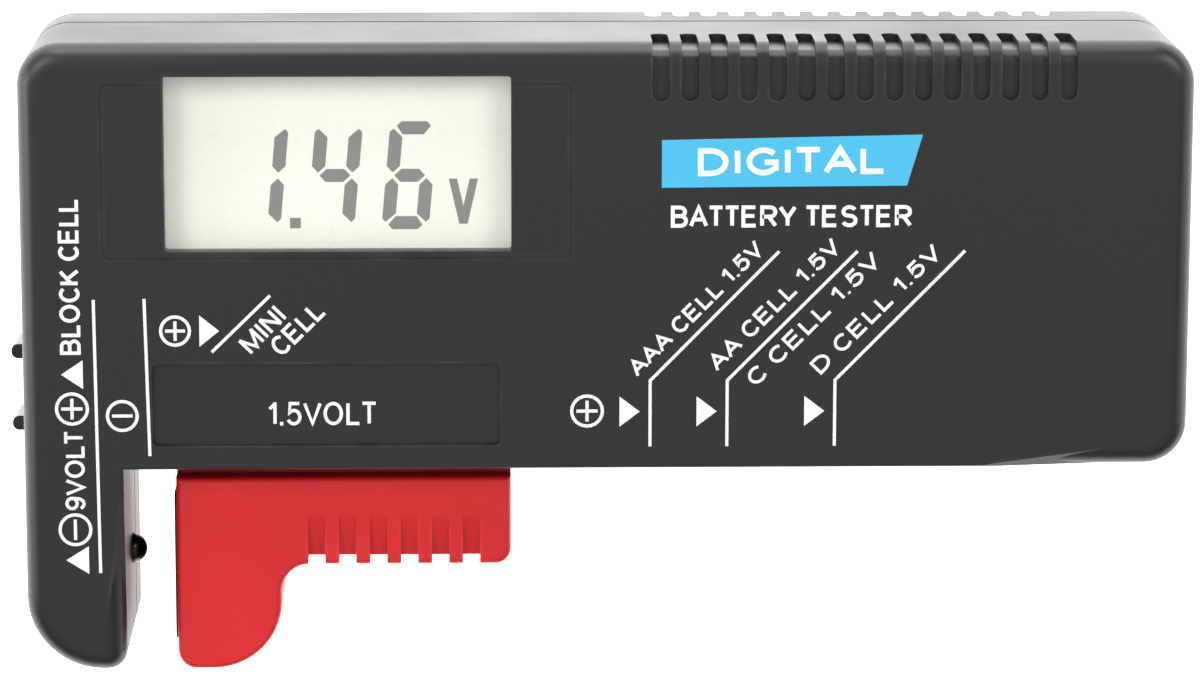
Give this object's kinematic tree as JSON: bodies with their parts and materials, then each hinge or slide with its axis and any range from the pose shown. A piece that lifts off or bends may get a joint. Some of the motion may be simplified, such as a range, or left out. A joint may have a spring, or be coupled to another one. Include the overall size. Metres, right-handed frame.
{
  "type": "battery tester",
  "caption": "Flat hand-held cell tester with a display window, an L-shaped case whose leg carries a dome contact, and a spring-loaded slider that clamps cells.",
  "frame": {"origin": "under the middle of the whole object's box, on the flat back of the case", "axes": "+X along the case from the leg to the free end, +Y from the slider side to the finger-groove side, +Z out through the display"},
  "size_m": [0.1118, 0.0606, 0.024],
  "materials": {
    "case_plastic": "fine moulded texture, dark charcoal ABS",
    "red_plastic": "satin moulded ABS, signal red",
    "window_acrylic": "clear polished acrylic",
    "lcd_glass": "pale grey-green reflective display",
    "white_plastic": "plain moulded nylon",
    "contact_rubber": "layered conductive silicone",
    "circuit_board": "green solder mask on glass-epoxy",
    "chip_epoxy": "moulded epoxy",
    "component_ceramic": "chip resistors with tinned ends",
    "component_can": "drawn aluminium can",
    "trimmer_plastic": "blue thermoset with brass rotor",
    "screw_steel": "zinc-plated, light scratches",
    "nickel_plate": "nickel-plated brass, brushed",
    "brass_strip": "rolled spring brass",
    "spring_steel": "drawn spring wire",
    "cell_sleeve": "shrink sleeve over a steel can",
    "black_insulation": "smooth PVC insulation",
    "red_insulation": "smooth PVC insulation"
  },
  "bodies": {
    "case": {"front_shell": "case_plastic", "rear_shell": "case_plastic", "window_lens": "window_acrylic", "lcd_panel": "lcd_glass", "lcd_frame": "white_plastic", "zebra_strip": "contact_rubber", "main_board": "circuit_board", "meter_chip": "chip_epoxy", "board_resistors": "component_ceramic", "board_capacitors": "component_can", "calibration_trimmer": "trimmer_plastic", "case_screws": "screw_steel", "contact_rail": "brass_strip", "return_spring": "spring_steel", "spring_pin": "spring_steel", "leg_contact": "nickel_plate", "nine_volt_positive_contact": "nickel_plate", "nine_volt_negative_contact": "nickel_plate", "supply_cell": "cell_sleeve", "supply_spring_contact": "spring_steel", "supply_plate_contact": "nickel_plate", "leg_lead": "black_insulation", "nine_volt_positive_lead": "red_insulation", "nine_volt_negative_lead": "black_insulation", "supply_negative_lead": "black_insulation", "supply_positive_lead": "red_insulation"},
    "slider": {"slider": "red_plastic", "slider_contact": "nickel_plate", "slider_wiper": "brass_strip"},
    "battery_door": {"battery_door": "case_plastic"}
  },
  "joints": [
    {"name": "slider_slide", "type": "slide", "parent": "case", "child": "slider", "axis": [1, 0, 0], "range_m": [0, 0.062], "stiffness_N_per_m": 20, "springref_m": -0.03, "deforming": ["return_spring"]},
    {"name": "door_slide", "type": "slide", "parent": "case", "child": "battery_door", "axis": [1, 0, 0], "range_m": [0, 0.055]}
  ]
}
